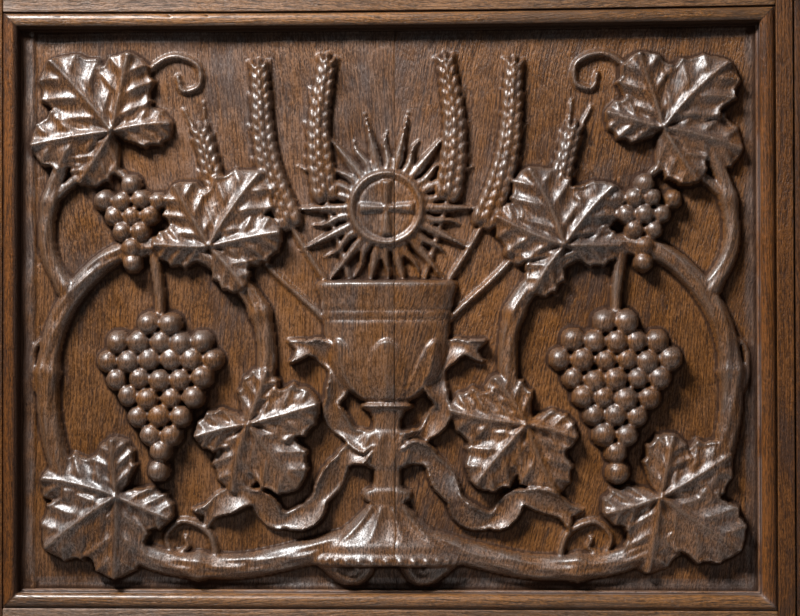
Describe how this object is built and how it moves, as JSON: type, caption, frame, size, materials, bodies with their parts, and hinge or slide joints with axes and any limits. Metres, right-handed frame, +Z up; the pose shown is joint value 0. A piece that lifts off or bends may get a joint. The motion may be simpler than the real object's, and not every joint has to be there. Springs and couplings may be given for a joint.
{
  "type": "communion rail",
  "caption": "Free-standing bay of an oak communion rail: a carved panel in a moulded, pegged frame between posts, on a plinth, under a broad cap.",
  "frame": {"origin": "middle of the sole's underside, on the floor", "axes": "+X along the rail to the viewer's right, +Y from the carved front to the back, +Z up"},
  "size_m": [0.9394, 0.2, 0.8033],
  "materials": {
    "carved_oak": "dark oiled and waxed oak, burnished on the high places",
    "frame_oak": "dark waxed oak, open pores",
    "moulding_oak": "dark waxed oak, worn on the arrises",
    "joinery_oak": "unfinished sawn and riven oak, aged"
  },
  "bodies": {
    "root": {"back_base_moulding": "moulding_oak", "back_bed_moulding": "moulding_oak", "back_left_glue_block": "joinery_oak", "back_right_glue_block": "joinery_oak", "back_skirting": "frame_oak", "bottom_back_bead": "joinery_oak", "bottom_panel_moulding": "moulding_oak", "bottom_rail": "frame_oak", "cap": "frame_oak", "front_base_moulding": "moulding_oak", "front_bed_moulding": "moulding_oak", "front_left_glue_block": "joinery_oak", "front_right_glue_block": "joinery_oak", "front_skirting": "frame_oak", "left_back_bead": "joinery_oak", "left_base_moulding": "moulding_oak", "left_bed_moulding": "moulding_oak", "left_bottom_lower_peg": "joinery_oak", "left_bottom_upper_peg": "joinery_oak", "left_cap_dowel": "joinery_oak", "left_panel_board": "carved_oak", "left_panel_moulding": "moulding_oak", "left_post": "frame_oak", "left_skirting": "frame_oak", "left_stile": "frame_oak", "left_top_lower_peg": "joinery_oak", "left_top_upper_peg": "joinery_oak", "lower_batten": "joinery_oak", "panel_tongue": "joinery_oak", "right_back_bead": "joinery_oak", "right_base_moulding": "moulding_oak", "right_bed_moulding": "moulding_oak", "right_bottom_lower_peg": "joinery_oak", "right_bottom_upper_peg": "joinery_oak", "right_cap_dowel": "joinery_oak", "right_panel_board": "carved_oak", "right_panel_moulding": "moulding_oak", "right_post": "frame_oak", "right_skirting": "frame_oak", "right_stile": "frame_oak", "right_top_lower_peg": "joinery_oak", "right_top_upper_peg": "joinery_oak", "sole": "frame_oak", "top_back_bead": "joinery_oak", "top_panel_moulding": "moulding_oak", "top_rail": "frame_oak", "upper_batten": "joinery_oak"}
  },
  "joints": []
}
